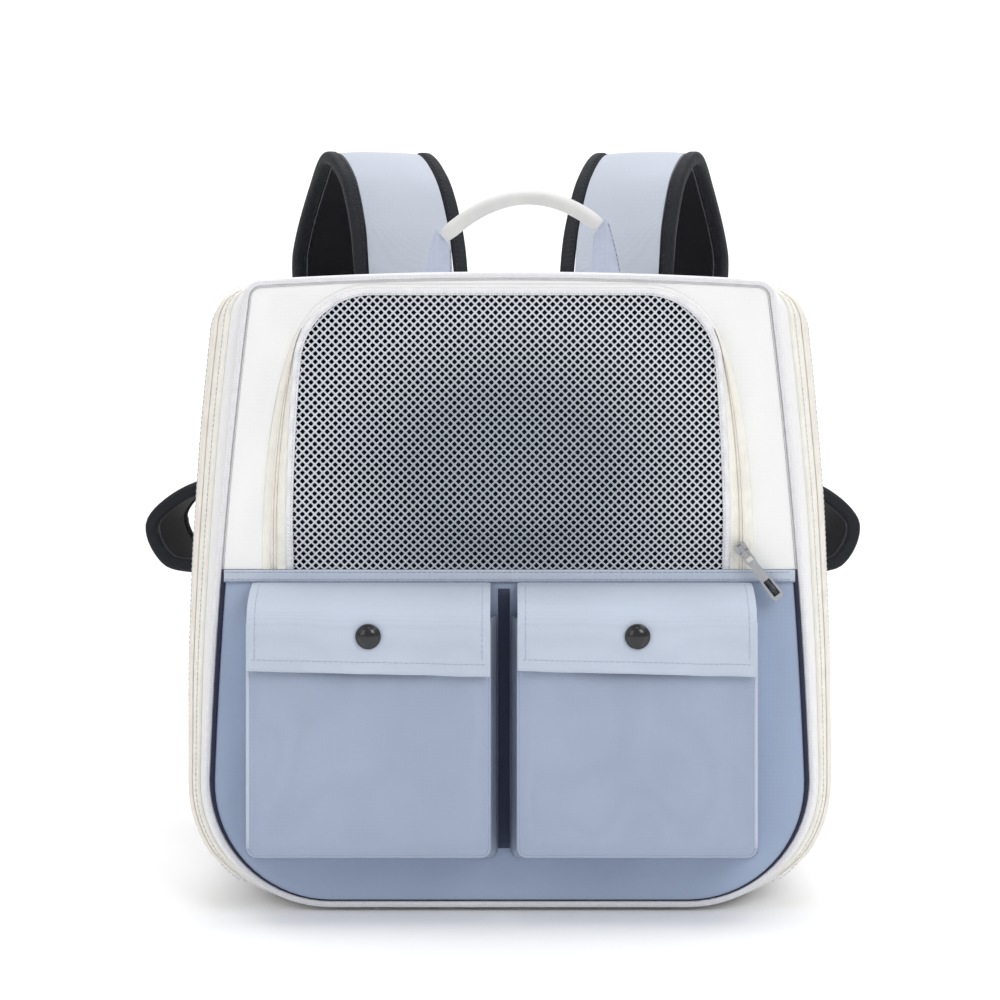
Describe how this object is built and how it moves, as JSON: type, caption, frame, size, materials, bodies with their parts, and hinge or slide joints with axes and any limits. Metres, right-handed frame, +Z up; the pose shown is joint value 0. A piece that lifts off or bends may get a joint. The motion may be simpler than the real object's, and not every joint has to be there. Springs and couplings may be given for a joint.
{
  "type": "pet carrier backpack",
  "caption": "Boxy backpack for carrying a small pet, with a large arched net window, two flap pockets, a top handle and padded shoulder straps.",
  "frame": {"origin": "middle of the base's underside, on the floor, at half the body's depth", "axes": "+Z up, -Y out of the front with the window and pockets, +X to the viewer's right"},
  "size_m": [0.4971, 0.4078, 0.4675],
  "materials": {
    "white_cloth": "matte coated oxford cloth, white",
    "blue_cloth": "matte coated cloth, grey blue",
    "pale_blue_cloth": "matte coated cloth, pale grey blue",
    "zipper_tape": "woven cream zipper tape with a nylon coil",
    "net": "open diamond net, pale grey",
    "strap_cloth": "matte cloth over foam, pale grey blue",
    "black_cloth": "black woven binding, lining and webbing",
    "black_plastic": "glossy black snap caps and adjusters",
    "white_rubber": "smooth white rubber",
    "steel": "bright plated metal"
  },
  "bodies": {
    "bag": {"gusset": "white_cloth", "front_panel_upper": "white_cloth", "front_panel_lower": "blue_cloth", "back_panel": "white_cloth", "front_piping": "white_cloth", "back_piping": "white_cloth", "trim_band": "pale_blue_cloth", "window_net": "net", "window_binding": "white_cloth", "window_zip_tape": "zipper_tape", "window_zip_slider": "steel", "handle_grip": "white_rubber", "gusset_zip_tape_left": "zipper_tape", "gusset_zip_coil_left": "zipper_tape", "window_zip_coil_left": "zipper_tape", "handle_tab_left": "pale_blue_cloth", "pocket_left": "blue_cloth", "pocket_flap_left": "pale_blue_cloth", "snap_cap_left": "black_plastic", "strap_pad_left": "strap_cloth", "strap_lining_left": "black_cloth", "strap_binding_left": "black_cloth", "strap_adjuster_left": "black_plastic", "strap_webbing_left": "black_cloth", "gusset_zip_tape_right": "zipper_tape", "gusset_zip_coil_right": "zipper_tape", "window_zip_coil_right": "zipper_tape", "handle_tab_right": "pale_blue_cloth", "pocket_right": "blue_cloth", "pocket_flap_right": "pale_blue_cloth", "snap_cap_right": "black_plastic", "strap_pad_right": "strap_cloth", "strap_lining_right": "black_cloth", "strap_binding_right": "black_cloth", "strap_adjuster_right": "black_plastic", "strap_webbing_right": "black_cloth"},
    "zip_pull": {"window_zip_pull": "steel"}
  },
  "joints": [
    {"name": "zip_pull_lift", "type": "hinge", "parent": "bag", "child": "zip_pull", "pos_m": [0.14026, -0.12354, 0.2159], "axis": [-0.788, 0, -0.6157], "range_deg": [0, 150]}
  ]
}
